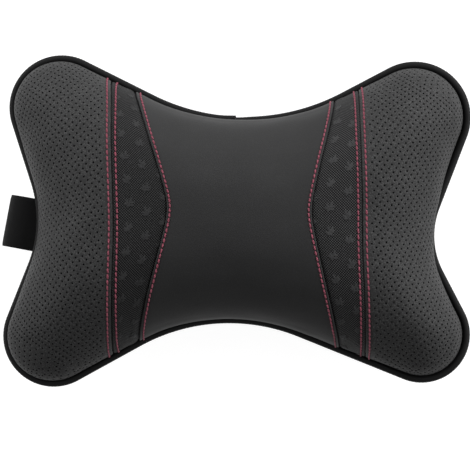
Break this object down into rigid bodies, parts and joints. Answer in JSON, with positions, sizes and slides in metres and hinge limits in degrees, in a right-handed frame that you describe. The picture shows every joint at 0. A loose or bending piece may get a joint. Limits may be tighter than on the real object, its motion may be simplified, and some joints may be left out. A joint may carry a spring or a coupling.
{
  "type": "car neck pillow",
  "caption": "Bone-shaped, fibre-filled neck pillow for a car seat, with a crowned front of sewn leathercloth panels, a piped seam, a plain back and an elastic strap that loops out at one side.",
  "frame": {"origin": "on the floor, at the middle of the footprint, with the pillow lying on its back", "axes": "+X to the right lobes as seen from the front, +Y to the top waist, +Z out of the front"},
  "size_m": [0.3062, 0.2146, 0.0951],
  "materials": {
    "smooth_leathercloth": "dark grey coated leathercloth, fine grain, satin",
    "perforated_leathercloth": "dark grey leathercloth with small punched holes, satin",
    "embossed_leathercloth": "near-black leathercloth with a pressed pattern, matt",
    "back_leathercloth": "dark grey leathercloth, plain, satin",
    "piping_leathercloth": "near-black leathercloth strip, satin",
    "piping_cord": "twisted cotton cord, undyed",
    "polyester_fibre": "white polyester fibre",
    "woven_elastic": "black woven elastic, matt",
    "red_thread": "crimson polyester sewing thread, slight sheen"
  },
  "bodies": {
    "root": {"left_perforated_panel": "perforated_leathercloth", "right_perforated_panel": "perforated_leathercloth", "left_embossed_panel": "embossed_leathercloth", "right_embossed_panel": "embossed_leathercloth", "centre_panel": "smooth_leathercloth", "back_cover": "back_leathercloth", "piping_cover": "piping_leathercloth", "piping_cord": "piping_cord", "fibre_filling": "polyester_fibre", "elastic_strap": "woven_elastic", "left_outer_stitching": "red_thread", "left_inner_stitching": "red_thread", "left_curve_stitching": "red_thread", "right_curve_stitching": "red_thread", "right_inner_stitching": "red_thread", "right_outer_stitching": "red_thread"}
  },
  "joints": []
}
